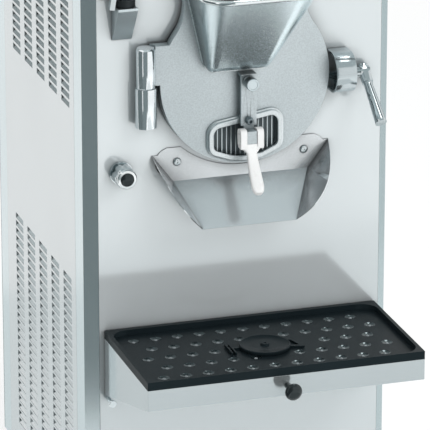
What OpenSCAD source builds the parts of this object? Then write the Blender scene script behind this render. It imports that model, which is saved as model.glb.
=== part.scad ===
// Floor-standing batch freezer. Millimetres, +Z up, the front faces -Y.
// Inside the modules Y = 0 is the front panel's face; in_frame() moves it to the part's own frame,
// whose origin is on the floor under the middle of the footprint.

/* [Cabinet] */
// Width over the side panels
cab_w = 510; // [480:1:560]
// Depth from the front panel to the rear panel
cab_d = 540; // [520:1:620]
// Overall height from the floor
cab_h = 1400; // [1360:1:1480]
// Height of the cabinet's lower edge
cab_base = 120; // [118:1:130]
// Sheet thickness of the panels
sheet = 1.5; // [1:0.1:2]
// Bevel of the front corner posts, across
bevel_x = 18.6; // [14:0.1:24]
// Bevel of the front corner posts, along the depth
bevel_y = 23.7; // [18:0.1:30]
// Depth taken by a corner post on the side
post_side = 45; // [36:1:60]
// Thickness of the posts' folded sheet
post_t = 2; // [1.5:0.1:3]
// Joint of front and control panel, as a share of the way from the door's top to the top cover
fascia_share = 0.26; // [0.2:0.01:0.4]
// Thickness of the top cover
top_t = 12; // [8:1:20]

/* [Louvres] */
// Louvre columns in each block
louvre_cols = 5; // [4:1:5]
// Rows in the lower block
louvre_low_rows = 28; // [20:1:30]
// Rows in the upper block
louvre_high_rows = 22; // [16:1:22]
// Width of a slot
louvre_w = 48; // [40:1:52]
// Height of a slot
louvre_h = 9.4; // [8:0.1:10]
// How far a slat leans inward
louvre_in = 6; // [4:0.5:8]
// Pitch of the columns
louvre_col_pitch = 74.5; // [70:0.5:76]
// Pitch of the rows
louvre_pitch = 13.8; // [12:0.1:14.4]
// Front edge of the first column
louvre_y = 95; // [90:1:100]
// Lower edge of the lower block
louvre_low_z = 168; // [160:1:180]
// Lower edge of the upper block
louvre_high_z = 840; // [820:1:860]

/* [Casters] */
// Wheel radius
wheel_r = 50; // [45:1:50]
// Wheel width
wheel_w = 28; // [22:1:32]
// Wheel axle radius
axle_r = 6; // [5:0.5:7]
// Distance of a caster from the side of the cabinet
caster_in = 50; // [48:1:60]
// Trail of a swivel caster
trail = 28; // [20:1:34]
// Kingpin radius
kingpin_r = 8; // [7:0.5:9]

/* [Freezing cylinder] */
// Height of the cylinder's axis
axis_z = 902; // [890:1:915]
// Inner radius of the cylinder
cyl_r = 118; // [112:1:120]
// Length of the cylinder
cyl_l = 400; // [360:5:410]
// Wall of the cylinder
cyl_t = 4; // [3:0.5:5]
// Outer radius of the front flange
flange_r = 138; // [137:0.5:138.5]
// Thickness of the insulation jacket
jacket_t = 27; // [20:1:30]
// Radius of the beater shaft
shaft_r = 15; // [12:1:18]
// Number of beater ribbons and scraper blades
blades = 3; // [3:1:4]
// Radius of the driven pulley
pulley_r = 90; // [80:1:95]
// Radius of the motor pulley
motor_pulley_r = 45; // [40:1:50]
// Height of the motor's axis
motor_z = 590; // [580:1:600]

/* [Door] */
// Radius of the door disc
door_r = 140; // [139:1:141]
// Thickness of the door plate
door_t = 18; // [16:0.5:19]
// Gap behind the door plate, filled by the gasket
door_gap = 7; // [6:0.5:8]
// Half width of the door's upward neck
neck_w = 99; // [95:1:102]
// Radius of the fillet between disc and neck
neck_fillet = 80; // [70:1:85]
// Height of the neck's top edge
neck_top = 1066; // [1060:1:1075]
// X of the hinge axis, left of the middle
hinge_x = 162; // [160:0.5:164]
// Distance of the hinge axis in front of the panel
hinge_y = 19; // [18.5:0.5:21]
// Radius of the hinge pin
hinge_pin_r = 6; // [5:0.5:7]
// Radius of the upper barrel
sleeve_r = 15.4; // [13:0.1:16]
// Radius of the lower barrel
lower_barrel_r = 17.2; // [16:0.1:18]
// Height of the split between the barrels
hinge_split_z = 900; // [896:1:902]
// Length of each barrel
barrel_l = 65; // [60:1:66]
// Height of the hinge lug's top edge
lug_top = 967; // [962:1:970]

/* [Hopper] */
// Half width of the hopper's mouth
hopper_w = 99; // [94:1:99]
// How far the mouth stands out from the door
hopper_d = 118; // [105:1:125]
// Corner radius of the mouth
hopper_corner = 50; // [40:1:60]
// Left edge of the hopper's floor
hopper_floor_x0 = -68; // [-70:1:-60]
// Right edge of the hopper's floor
hopper_floor_x1 = 32; // [26:1:40]
// How far the floor stands out from the door
hopper_floor_d = 28; // [24:1:34]
// Height of the hopper's floor
hopper_floor_z = 923; // [916:1:924]
// Height of the lower edge of the rim
rim_z = 1058; // [1052:1:1058]
// Height of the rim band
rim_h = 9; // [7:0.5:10]
// How far the rim stands out from the wall
rim_out = 4; // [3:0.5:5]
// Wall thickness
hopper_t = 2.5; // [2:0.1:3]

/* [Outlet] */
// Height of the window frame on the door
outlet_raise = 8; // [6:0.5:9]
// Width of the frame around the window
outlet_border = 11.2; // [9:0.1:12]
// Pitch of the grille bars
bar_pitch = 7.55; // [7:0.05:8]
// Width of a grille bar
bar_w = 1.6; // [1.4:0.1:2.6]
// Number of grille bars
bar_count = 13; // [12:1:13]
// Travel of the gate plate
gate_travel = 55; // [40:1:56]
// Width of the gate strap
strap_w = 26; // [22:1:28]
// Thickness of the strap
strap_t = 6; // [4:0.5:7]
// Distance of the strap's face in front of the door
strap_out = 19; // [17:0.5:22]
// Radius of the strap knob
strap_knob_r = 10.5; // [9:0.5:12]
// Height of the lever's pivot
pivot_z = 817; // [814:1:820]
// Distance of the lever's pivot in front of the panel
pivot_y = 54; // [52:1:56]
// Radius of the lever's pin
lever_pin_r = 3; // [2.5:0.1:3.5]
// Width of the steel block between the fork's arms
block_w = 16.4; // [14:0.1:17]
// Width over the fork's arms
fork_w = 38; // [36:0.5:42]

/* [Clamp] */
// Radius of the stud in the door's edge
stud_r = 6; // [5:0.5:7]
// Height of the stud
stud_z = 891; // [886:1:896]
// Outer radius of the clamp housing
housing_r = 33; // [30:1:35]
// Left end of the clamp housing
housing_x = 144; // [143:0.5:146]
// Length of the clamp housing
housing_l = 33; // [30:1:36]
// Wall of the clamp housing
housing_t = 4; // [3:0.5:5]
// Length of the clamp lever's rod
rod_l = 84; // [70:1:95]
// Radius of the rod at its free end
rod_r = 9.5; // [8:0.5:10]

/* [Front fittings] */
// Half width of the chute at its tips
chute_w = 148; // [146:1:150]
// Height of the chute's tips
chute_tip_z = 779; // [776:1:780]
// Half width at the fold
chute_fold_w = 114; // [110:1:116]
// Height of the fold
chute_fold_z = 734; // [730:1:738]
// Half width at the lower lip
chute_lip_w = 79; // [74:1:84]
// Height of the lower lip
chute_lip_z = 666; // [660:1:672]
// How far the lower lip stands out
chute_lip_out = 52; // [48:1:56]
// Radius of the tap's rose
tap_r = 18.8; // [17:0.1:20]
// X of the tap, left of the middle
tap_x = 199; // [196:1:204]
// Height of the tap
tap_z = 757; // [750:1:765]
// Length of the tap over all
tap_l = 40; // [36:1:44]
// X of the shower holster, left of the middle
holster_x = 196; // [194:1:198]
// Height of the holster's lower edge
holster_z = 977; // [970:1:985]

/* [Shelf] */
// Half width of the shelf
shelf_w = 228.5; // [220:0.5:229]
// Depth of the shelf
shelf_d = 240.5; // [220:0.5:250]
// Height of the mat's surface
shelf_z = 494; // [480:1:510]
// Thickness of the mat
mat_t = 13.6; // [12:0.1:15]
// Depth of the mat's recess
mat_recess_h = 9; // [6:0.5:10]
// Height of the tray's front edge
tray_front_h = 34.5; // [32:0.5:38]
// Height of the side plates at the back
tray_rear_h = 97.5; // [94:0.5:110]
// Radius of a dimple
dimple_r = 9.3; // [8:0.1:10]
// Pitch of the dimples across
dimple_pitch = 36.6; // [35:0.1:37]
// Pitch of the dimple rows
dimple_row = 41.4; // [40:0.1:42]
// Radius of the pan locator's disc
locator_r = 41; // [38:1:42]
// Travel when the shelf is lifted off its studs
shelf_lift = 12; // [8:1:12]
// Radius of the mushroom knob
mushroom_r = 14; // [12:0.5:16]

/* [Hidden] */
$fn = 48;
run = 0.05;
fit = 0.1;
seam = 0.4;
half_w = cab_w / 2;
cab_top = cab_h - top_t;
rear_reach = 25;
knob_reach = shelf_d + 3 + 36;
front_y = (knob_reach - cab_d - sheet - rear_reach) / 2;
post_end = bevel_y + post_side;
post_return = 28;
seat = 36;
panel_y0 = post_end + seam;
panel_y1 = cab_d - post_side - seam;
panel_half = half_w - bevel_x - seam;
door_face = -(door_gap + door_t);
front_seal = 1.5;
hinge_foot = hinge_split_z - barrel_l;
pin_foot = hinge_foot + 6;
throat = [-38, 926];
throat_size = [50, 26];
gate_foot = axis_z - 127;
gate_top = axis_z - 60;
deck_z = cab_base + 30;
beater_y = 30;
beater_l = cyl_l - 46;
blade_r0 = cyl_r - 12;
strap_face = door_face - strap_out;
stud_y = -(door_gap + door_t / 2);
housing_y = -23;
housing_z = stud_z + 6.5;
collar_t = 3;
lever_x = housing_x + housing_l + 25;
rod_dir = [4, -61.5, -56.3];
outlet_foot = 126;
tray_back = -3;
mat_z = shelf_z - mat_t;
tray_face = tray_back - shelf_d;
hook_x = 200;
hook_z = 464;
hook_r = 5;
rest_x = shelf_w - 4;
rest_r = 4;
rest_z = mat_z - tray_rear_h - rest_r - 0.2;
knob_z = mat_z - tray_front_h / 2;
knob_stem_r = 5;
floor_z = shelf_z - mat_recess_h;
locator_y = -129;
locator_pin_r = 5;
fascia_z = neck_top + fascia_share * (cab_top - neck_top);
fascia_h = cab_top - fascia_z;
fascia_out = 8;
button_r = 11;
button_x = 115;
button_z = fascia_z + 0.59 * fascia_h;
window = [-100, 60, fascia_z + 0.42 * fascia_h, fascia_z + 0.76 * fascia_h];
inlet = [-150, 0, 200];
inlet_bore = 9;
tap_stem_r = 10;
tap_spindle_r = 9;
motor_shaft_r = 12;
drive_room = cab_d - cyl_l;
bearing_l = 0.32 * drive_room;
motor_end = cyl_l + 0.29 * drive_room;
belt_y = cyl_l + 0.54 * drive_room;
belt_w = drive_room / 7;
fan_centre = [129 - half_w, 290, 360];
fan_axle_r = 4;
strap_top = axis_z + 12;
strap_bolt_z = 838;
knob_bolt_r = 5;
bolt_r = 3;
housing_back = -3;
screw_x = 106;
screw_z = 766;
screw_r = 2.5;
handset_y = -21;
handset_r = 10;
holster_bore_z = 46;

// Chute corners on the right: tip and fold lie on the panel, the lip stands out.
tip = [chute_w, -fit - sheet, chute_tip_z];
fold = [chute_fold_w, -fit - sheet, chute_fold_z];
lip = [chute_lip_w, -chute_lip_out, chute_lip_z];
wing_normal = cross(fold - tip, lip - tip);
// How far the chute's plates reach into each other at a bend
lap = 0.6 * sheet;

// Places of the mat's dimples: staggered rows, left clear under the pan locator and its arms.
dimples = [for (row = [0 : 4], k = [0 : 10])
    let(x = -191.5 + (row % 2) * dimple_pitch / 2 + k * dimple_pitch,
        y = -41.5 - row * dimple_row,
        under_arms = abs(y - locator_y) < 20 && abs(x) < 66)
        if (norm([x, y - locator_y]) > locator_r + 2 && !under_arms) [x, y]];

steel = [0.80, 0.83, 0.84];
door_grey = [0.72, 0.76, 0.77];
dark_steel = [0.42, 0.50, 0.53];
polished = [0.87, 0.90, 0.92];
black = [0.08, 0.09, 0.10];
white = [0.96, 0.96, 0.95];
foam = [0.85, 0.78, 0.58];

// ---- helpers ----
module in_frame() {
    translate([0, front_y, 0]) children();
}

// A bar along Y from y0 to y1.
module along_y(r, y0, y1) {
    translate([0, y0, 0]) rotate([-90, 0, 0]) cylinder(r = r, h = y1 - y0);
}

// A bar along X from x0 to x1.
module along_x(r, x0, x1) {
    translate([x0, 0, 0]) rotate([0, 90, 0]) cylinder(r = r, h = x1 - x0);
}

// An outline in X and Z, given thickness from y0 to y1.
module plate_y(y0, y1) {
    translate([0, y1, 0]) rotate([90, 0, 0]) linear_extrude(y1 - y0) children();
}

// An outline in Y and Z, given thickness from x0 to x1.
module plate_x(x0, x1) {
    translate([x0, 0, 0]) rotate([90, 0, 90]) linear_extrude(x1 - x0) children();
}

module both_sides() {
    children();
    mirror([1, 0, 0]) children();
}

module box(x0, x1, y0, y1, z0, z1) {
    translate([x0, y0, z0]) cube([x1 - x0, y1 - y0, z1 - z0]);
}

// ---- cabinet ----
module at_caster(side, rear) {
    translate([side * (half_w - caster_in), rear ? cab_d - caster_in : caster_in + 10, 0]) children();
}

// Ring of square tube with the front corners cut along the posts' bevel, a deck and the caster seats.
module base_frame() {
    tube = 30;
    x = half_w - 4;
    y0 = 6;
    y1 = cab_d - 4;
    color(dark_steel) in_frame() difference() {
        union() {
            translate([0, 0, cab_base]) linear_extrude(tube) difference() {
                both_sides() polygon([
                    [0, y0], [x + 2 - bevel_x, y0], [x, bevel_y + y0], [x, y1], [0, y1]
                ]);
                translate([tube - x, y0 + tube]) square([2 * (x - tube), y1 - y0 - 2 * tube]);
            }
            box(4 - x, x - 4, y0 + tube - 4, y1 - tube + 4, deck_z - 2, deck_z);
            for (side = [-1, 1], rear = [false, true])
                at_caster(side, rear) box(-seat, seat, -seat, seat, cab_base - 8, cab_base + 4);
        }
        translate([0, 0, cab_base]) linear_extrude(tube + 1) both_sides() {
            front_post_section();
            rear_post_section();
        }
        for (side = [-1, 1])
            at_caster(side, false) translate([0, 0, cab_base - 10]) cylinder(r = kingpin_r + run, h = 24);
    }
}

// Folded sheet of the right front post: side leg, bevel, a leg behind the front panel and a return.
module front_post_section() {
    fold_y = bevel_y + 0.7;
    front_x = half_w - bevel_x;
    lap_y = sheet + fit;
    polygon([[half_w, post_end], [half_w, bevel_y], [half_w - post_t, fold_y], [half_w - post_t, post_end]]);
    polygon([[half_w, bevel_y], [front_x, 0], [front_x, post_t + 1], [half_w - post_t, fold_y]]);
    translate([front_x - 20, lap_y]) square([20.8, post_t]);
    translate([half_w - post_return, post_end - post_t]) square([post_return, post_t]);
}

module rear_post_section() {
    translate([half_w - post_t, cab_d - post_side]) square([post_t, post_side - sheet - fit]);
    translate([half_w - post_return, cab_d - sheet - fit - post_t]) square([post_return, post_t]);
    translate([half_w - post_return, cab_d - post_side]) square([post_return, post_t]);
}

module corner_posts() {
    color(steel) in_frame() both_sides()
        translate([0, 0, cab_base]) linear_extrude(cab_top - cab_base) {
            front_post_section();
            rear_post_section();
        }
}

// Puts its children at the lower front corner of every louvre, in Y and Z.
module at_louvres() {
    blocks = [[louvre_low_z, louvre_low_rows], [louvre_high_z, louvre_high_rows]];
    for (b = blocks, col = [0 : louvre_cols - 1], row = [0 : b[1] - 1])
        translate([0, louvre_y + col * louvre_col_pitch, b[0] + row * louvre_pitch]) children();
}

// The right side's sheet; each slat is pressed inward along the upper edge of its slot.
module louvred_side() {
    slat_t = 1.2;
    top = louvre_h - 1;
    difference() {
        box(half_w - sheet, half_w, panel_y0, panel_y1, cab_base, cab_top);
        translate([half_w, 0, 0]) at_louvres() box(-sheet - 1, 1, 0, louvre_w, 0, louvre_h);
    }
    translate([half_w, 0, 0]) at_louvres() plate_y(0.2, louvre_w - 0.2)
        polygon([[-0.2, -0.6], [-louvre_in, top], [-louvre_in - slat_t, top - 0.6], [-slat_t - 0.3, -0.6]]);
}

module left_side_panel() {
    color(steel) in_frame() mirror([1, 0, 0]) louvred_side();
}

module right_side_panel() {
    color(steel) in_frame() louvred_side();
}

module front_panel() {
    color(steel) in_frame() difference() {
        box(-panel_half, panel_half, 0, sheet, cab_base, fascia_z - seam);
        translate([0, 0, axis_z]) along_y(flange_r + 0.5, -1, sheet + 1);
        translate([-tap_x, 0, tap_z]) along_y(tap_stem_r, -1, sheet + 1);
        both_sides() translate([rest_x, 0, rest_z]) along_y(rest_r, -1, sheet + 1);
        both_sides() translate([hook_x, 0, hook_z]) along_y(hook_r, -1, sheet + 1);
        both_sides() translate([screw_x, 0, screw_z]) along_y(screw_r, -1, sheet + 1);
    }
}

module control_panel() {
    color(door_grey) in_frame() difference() {
        union() {
            box(-panel_half, panel_half, 0, sheet, fascia_z, cab_top - 1);
            box(-170, 170, -fascia_out, 0, fascia_z + fascia_h / 8, cab_top - fascia_h / 8);
        }
        box(window[0], window[1], -fascia_out - 1, -5, window[2], window[3]);
        translate([button_x, 0, button_z]) along_y(button_r + run, -fascia_out - 1, sheet + 1);
    }
}

module display_window() {
    edge = 0.2;
    color(black) in_frame()
        box(window[0] + edge, window[1] - edge, -fascia_out, -5.1, window[2] + edge, window[3] - edge);
}

module start_button() {
    color(polished) in_frame() translate([button_x, 0, button_z]) {
        along_y(button_r, -17, 12);
        along_y(button_r + 6, -21, -14);
    }
}

// A 3/4 inch pipe stub on a round flange.
module water_inlet() {
    back = cab_d + sheet;
    translate(inlet) difference() {
        union() {
            along_y(13.2, back, back + rear_reach);
            along_y(20, back, back + 4);
        }
        along_y(inlet_bore, cab_d - 1, back + rear_reach + 1);
    }
}

module rear_panel() {
    slot = [140, sheet + 2, 8];
    slot_rows = 16;
    color(steel) in_frame() {
        difference() {
            box(-half_w, half_w, cab_d, cab_d + sheet, cab_base, cab_top);
            for (row = [0 : slot_rows - 1], x = [-slot[0] - 10, 10])
                translate([x, cab_d - 1, 260 + row * 3 * slot[2]]) cube(slot);
            translate(inlet) along_y(inlet_bore, cab_d - 1, cab_d + sheet + 1);
        }
        water_inlet();
    }
}

module top_cover() {
    color(steel) in_frame() translate([0, 0, cab_top]) linear_extrude(top_t)
        polygon([
            [-half_w + bevel_x, 0], [half_w - bevel_x, 0], [half_w, bevel_y],
            [half_w, cab_d + sheet], [-half_w, cab_d + sheet], [-half_w, bevel_y]
        ]);
}

// ---- casters: the swivel axis is at the origin, the trail points to the back ----
module caster_fork(pin_h, offset_y) {
    leg_x = wheel_w / 2 + 4.5;
    leg_t = 4;
    foot = 12;
    translate([0, 0, cab_base - 16]) {
        cylinder(r = 26, h = 8 - 0.3);
        cylinder(r = kingpin_r, h = pin_h);
    }
    for (x = [-leg_x, leg_x]) plate_x(x - leg_t / 2, x + leg_t / 2) {
        polygon([
            [-16, cab_base - 14], [20, cab_base - 14], [offset_y + foot, wheel_r], [offset_y - foot, wheel_r]
        ]);
        translate([offset_y, wheel_r]) circle(foot);
    }
    translate([0, offset_y, wheel_r]) along_x(axle_r, -leg_x - 4.5, leg_x + 4.5);
}

module caster_wheel(offset_y) {
    translate([0, offset_y, wheel_r]) rotate([0, 90, 0]) difference() {
        union() {
            rotate_extrude($fn = 64) polygon([
                [wheel_r - 14, -wheel_w / 2], [wheel_r - 3, -wheel_w / 2],
                [wheel_r, -wheel_w / 2 + 5], [wheel_r, wheel_w / 2 - 5],
                [wheel_r - 3, wheel_w / 2], [wheel_r - 14, wheel_w / 2]
            ]);
            cylinder(r = wheel_r - 13, h = 10, center = true);
            cylinder(r = 14, h = wheel_w, center = true);
        }
        translate([0, 0, -wheel_w]) cylinder(r = axle_r + run, h = 2 * wheel_w);
    }
}

module caster_fork_left() {
    color(polished) in_frame() at_caster(-1, false) caster_fork(18, trail);
}

module caster_fork_right() {
    color(polished) in_frame() at_caster(1, false) caster_fork(18, trail);
}

module rear_caster_forks() {
    color(polished) in_frame() for (side = [-1, 1]) at_caster(side, true) caster_fork(8, 0);
}

module caster_wheel_front_left() {
    color(black) in_frame() at_caster(-1, false) caster_wheel(trail);
}

module caster_wheel_front_right() {
    color(black) in_frame() at_caster(1, false) caster_wheel(trail);
}

module caster_wheel_rear_left() {
    color(black) in_frame() at_caster(-1, true) caster_wheel(0);
}

module caster_wheel_rear_right() {
    color(black) in_frame() at_caster(1, true) caster_wheel(0);
}

// ---- freezing group ----
module tube_y(r0, r1, y0, y1) {
    difference() {
        along_y(r1, y0, y1);
        along_y(r0, y0 - 1, y1 + 1);
    }
}

module freezing_cylinder() {
    end_t = 5;
    color(polished) in_frame() translate([0, 0, axis_z]) {
        tube_y(cyl_r, cyl_r + cyl_t, -front_seal, cyl_l);
        tube_y(cyl_r, flange_r, -front_seal, end_t);
        tube_y(shaft_r + run, cyl_r + 1, cyl_l - end_t, cyl_l);
    }
}

module insulation_jacket() {
    color(foam) in_frame() translate([0, 0, axis_z])
        tube_y(cyl_r + cyl_t + fit, cyl_r + cyl_t + jacket_t, 8, cyl_l - 6);
}

// A flat bar of width w between radii r0 and r1, wound about the Y axis by turn_deg over the length l.
module helix_ribbon(w, r0, r1, l, turn_deg) {
    rings = 18;
    section = [[-w / 2, r0], [w / 2, r0], [w / 2, r1], [-w / 2, r1]];
    points = [for (i = [0 : rings], p = section) let(a = turn_deg * i / rings)
        [p[0] * cos(a) + p[1] * sin(a), l * i / rings, p[1] * cos(a) - p[0] * sin(a)]];
    sides = [for (i = [0 : rings - 1], k = [0 : 3]) let(a = 4 * i + k, b = 4 * i + (k + 1) % 4)
        each [[a, b, b + 4], [a, b + 4, a + 4]]];
    polyhedron(points, concat([[3, 2, 1, 0], [for (k = [0 : 3]) 4 * rings + k]], sides));
}

// Shaft, two sets of spokes and the helical ribbons that run from one set to the next spoke of the other.
module beater() {
    spoke_t = 12;
    spoke_w = 18;
    ribbon_w = 14;
    ribbon_h = 20;
    step = 360 / blades;
    color(polished) in_frame() translate([0, 0, axis_z]) {
        along_y(shaft_r, beater_y - 4, cab_d - 20);
        for (k = [0 : blades - 1]) rotate([0, k * step, 0]) {
            for (y = [beater_y, beater_y + beater_l - spoke_t])
                box(-spoke_w / 2, spoke_w / 2, y, y + spoke_t, shaft_r / 2, blade_r0);
            translate([0, beater_y + spoke_t / 2, 0])
                helix_ribbon(ribbon_w, blade_r0 - ribbon_h - 3, blade_r0 - 3, beater_l - spoke_t, step);
        }
    }
}

// Plastic blades on the spokes' ends, bevelled to the edge that scrapes the cylinder.
module scraper_blades() {
    top = cyl_r - 1.2;
    color(white) in_frame() translate([0, 0, axis_z])
        for (k = [0 : blades - 1]) rotate([0, k * 360 / blades, 0])
            plate_y(beater_y, beater_y + beater_l)
                polygon([[-9, blade_r0], [9, blade_r0], [9, top - 5], [3, top], [-2, top], [-9, top - 5]]);
}

module shaft_bearing() {
    hub_r = 34;
    color(dark_steel) in_frame() translate([0, 0, axis_z]) {
        tube_y(shaft_r + run, hub_r, cyl_l + fit, cyl_l + bearing_l);
        tube_y(hub_r - 1, 62, cyl_l + fit, cyl_l + bearing_l / 4);
    }
}

// A flat-belt pulley of radius r with a flange at each side of the belt and six lightening holes.
module belt_pulley(r, bore) {
    flange_t = belt_w / 5;
    y0 = belt_y - belt_w / 4;
    y1 = belt_y + belt_w + belt_w / 4;
    difference() {
        along_y(r + 5, y0, y1);
        tube_y(r, r + 6, y0 + flange_t, y1 - flange_t);
        along_y(bore, y0 - 1, y1 + 1);
        for (k = [0 : 5]) rotate([0, k * 60, 0])
            translate([r * 0.62, 0, 0]) along_y(r * 0.18, y0 - 1, y1 + 1);
    }
}

module driven_pulley() {
    color(dark_steel) in_frame() translate([0, 0, axis_z]) belt_pulley(pulley_r, shaft_r);
}

module drive_belt() {
    belt_t = 4;
    color(black) in_frame() plate_y(belt_y, belt_y + belt_w) difference() {
        hull() {
            translate([0, axis_z]) circle(pulley_r + belt_t);
            translate([0, motor_z]) circle(motor_pulley_r + belt_t);
        }
        hull() {
            translate([0, axis_z]) circle(pulley_r + 0.3);
            translate([0, motor_z]) circle(motor_pulley_r + 0.3);
        }
    }
}

// Finned motor on two stands.
module motor() {
    motor_r = 84;
    fins = 12;
    y0 = motor_end - 240;
    y1 = motor_end;
    color(dark_steel) in_frame() {
        translate([0, 0, motor_z]) difference() {
            union() {
                along_y(motor_r, y0, y1);
                for (k = [0 : fins - 1]) rotate([0, k * 360 / fins, 0])
                    box(-2, 2, y0 + 15, y1 - 40, motor_r - 4, motor_r + 8);
            }
            along_y(motor_shaft_r + run, y1 - 60, y1 + 1);
        }
        for (y = [y0 + 30, y1 - 50]) box(-70, 70, y, y + 25, deck_z, motor_z - 60);
    }
}

module motor_pulley() {
    color(dark_steel) in_frame() translate([0, 0, motor_z]) {
        along_y(motor_shaft_r, motor_end - 40, belt_y + belt_w + 10);
        belt_pulley(motor_pulley_r, motor_shaft_r - 1);
    }
}

// ---- cooling group ----
// Hermetic compressor: foot ring, can, domed cap and suction pipe.
module compressor() {
    can_r = 66;
    can_h = 190;
    foot_h = 16;
    color(black) in_frame() translate([half_w - 105, 170, deck_z]) {
        cylinder(r = can_r + 6, h = foot_h);
        translate([0, 0, foot_h]) cylinder(r = can_r, h = can_h);
        translate([0, 0, foot_h + can_h]) intersection() {
            sphere(r = can_r);
            cylinder(r = can_r, h = 40);
        }
        translate([0, can_r - 6, 120]) along_y(9, 0, 40);
    }
}

// Finned core behind the left side's louvres, with the bracket and axle of its fan.
module condenser() {
    core_x = -half_w + 12;
    core_t = 40;
    core_top = 530;
    fin_pitch = 12;
    fin_gap = 5;
    frame_w = 15;
    motor_x = fan_centre[0] + 16;
    color(dark_steel) in_frame() {
        difference() {
            box(core_x, core_x + core_t, 130, 450, deck_z, core_top);
            for (k = [0 : 24])
                translate([core_x - 1, 130 + frame_w + k * fin_pitch, deck_z + frame_w])
                    cube([core_t - 7, fin_gap, core_top - deck_z - 2 * frame_w]);
        }
        translate([0, fan_centre[1], fan_centre[2]]) {
            along_x(34, motor_x, motor_x + 30);
            along_x(fan_axle_r, fan_centre[0] - 14, motor_x + 1);
            box(motor_x + 10, motor_x + 20, -12, 12, deck_z - fan_centre[2], -20);
        }
    }
}

module fan() {
    fan_blades = 5;
    color(steel) in_frame() translate(fan_centre) difference() {
        union() {
            along_x(26, -10, 10);
            for (k = [0 : fan_blades - 1]) rotate([k * 360 / fan_blades, 0, 0])
                translate([0, 0, 24]) rotate([0, 0, 28]) box(-2, 2, -26, 26, 0, 92);
        }
        along_x(fan_axle_r + run, -24, 26);
    }
}

module electric_box() {
    color(steel) in_frame() box(half_w - 105, half_w - 14, 280, 470, 420, 720);
}

// ---- hinge ----
module at_hinge() {
    translate([-hinge_x, -hinge_y, 0]) children();
}

// Lower barrel with the plate that carries it on the panel.
module hinge_block() {
    plate_w = 11;
    top_z = hinge_split_z - seam;
    color(door_grey) in_frame() difference() {
        union() {
            at_hinge() translate([0, 0, hinge_foot]) cylinder(r = lower_barrel_r, h = top_z - hinge_foot);
            box(-hinge_x - plate_w, -hinge_x + plate_w, -plate_w, 0, hinge_foot + 3, top_z - 3);
        }
        at_hinge() translate([0, 0, pin_foot]) cylinder(r = hinge_pin_r, h = barrel_l);
    }
}

module hinge_pin() {
    color(polished) in_frame() at_hinge() translate([0, 0, pin_foot])
        cylinder(r = hinge_pin_r, h = 2 * barrel_l - 18);
}

module hinge_sleeve() {
    color(polished) in_frame() at_hinge() difference() {
        union() {
            translate([0, 0, hinge_split_z]) cylinder(r = sleeve_r, h = barrel_l - 3);
            translate([0, 0, hinge_split_z + barrel_l - 3])
                cylinder(r1 = sleeve_r, r2 = sleeve_r - 2, h = 3);
        }
        translate([0, 0, hinge_split_z - 1]) cylinder(r = hinge_pin_r + run, h = barrel_l - 8);
    }
}

// ---- door ----
// Disc, neck and the concave fillets between them.
module door_outline() {
    fillet_x = neck_w + neck_fillet;
    fillet_z = sqrt(pow(door_r + neck_fillet, 2) - pow(fillet_x, 2));
    circle(door_r, $fn = 96);
    difference() {
        union() {
            polygon([[0, 0], [fillet_x, fillet_z], [0, fillet_z]]);
            polygon([[0, 0], [-fillet_x, fillet_z], [0, fillet_z]]);
        }
        for (side = [-1, 1]) translate([side * fillet_x, fillet_z]) circle(neck_fillet, $fn = 96);
    }
    translate([-neck_w, 0]) square([2 * neck_w, neck_top - axis_z]);
}

// The outlet window: rounded corners, a foot concentric with the disc and a top edge rising to the right.
module outlet_window(grow) {
    corners = [[-42, -89, 12], [41, -74.5, 11], [42, -105, 10], [-44, -106, 10]];
    foot_w = 52;
    hull() {
        for (c = corners) translate([c[0], c[1]]) circle(c[2] + grow);
        intersection() {
            circle(outlet_foot + grow, $fn = 96);
            translate([-foot_w / 2, -outlet_foot - grow]) square([foot_w, 20]);
        }
    }
}

module feed_throat() {
    translate(throat) square(throat_size);
}

module door_plate() {
    pocket_top = gate_top + gate_travel + 1;
    color(door_grey) in_frame() difference() {
        union() {
            plate_y(door_face, -door_gap) translate([0, axis_z]) door_outline();
            box(-hinge_x, -120, door_face, -door_gap, hinge_split_z + 3, lug_top);
        }
        at_hinge() translate([0, 0, axis_z - 100]) cylinder(r = sleeve_r + run, h = 300);
        plate_y(door_face - 1, 0) translate([0, axis_z]) outlet_window(0);
        plate_y(door_face - 1, 0) feed_throat();
        box(-58, 58, -15, 0, gate_foot - 1, pocket_top);
        translate([0, stud_y, stud_z]) along_x(stud_r, door_r - 26, door_r + 1);
    }
}

module door_gasket() {
    color(black) in_frame() translate([0, 0, axis_z])
        tube_y(cyl_r + 11, flange_r - 2, -door_gap, -front_seal - 0.2);
}

module hopper_mouth(grow, height, inset) {
    c = hopper_corner + grow;
    x = hopper_w - hopper_corner;
    y = door_face - hopper_d + hopper_corner;
    for (side = [-1, 1]) translate([side * x, y, 0]) cylinder(r = c, h = height, $fn = 48);
    for (side = [-1, 1])
        translate([side * (hopper_w + grow - 1) - 1, door_face - 4 - inset, 0]) cube([2, 4, height]);
}

module hopper_floor(grow, height, inset) {
    r = 12 + grow;
    y = door_face - hopper_floor_d + 12;
    for (x = [hopper_floor_x0 + 12, hopper_floor_x1 - 12])
        translate([x, y, 0]) cylinder(r = r, h = height, $fn = 32);
    for (x = [hopper_floor_x0 + 1 - grow, hopper_floor_x1 - 1 + grow])
        translate([x - 1, door_face - 4 - inset, 0]) cube([2, 4, height]);
}

module hopper_shell(grow, z0, z1, inset) {
    hull() {
        translate([0, 0, z0]) hopper_floor(grow, 0.5, inset);
        translate([0, 0, z1]) hopper_mouth(grow, 0.5, inset);
    }
}

module hopper() {
    back_t = 1.5;
    color(dark_steel) in_frame() difference() {
        union() {
            hopper_shell(0, hopper_floor_z, rim_z + rim_h - 0.5, 0);
            translate([0, 0, rim_z]) hull() hopper_mouth(rim_out, rim_h, 0);
        }
        hopper_shell(-hopper_t, hopper_floor_z + hopper_t, rim_z + rim_h + 0.6, back_t);
        plate_y(door_face - back_t - 1, door_face + 1) feed_throat();
    }
}

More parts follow.
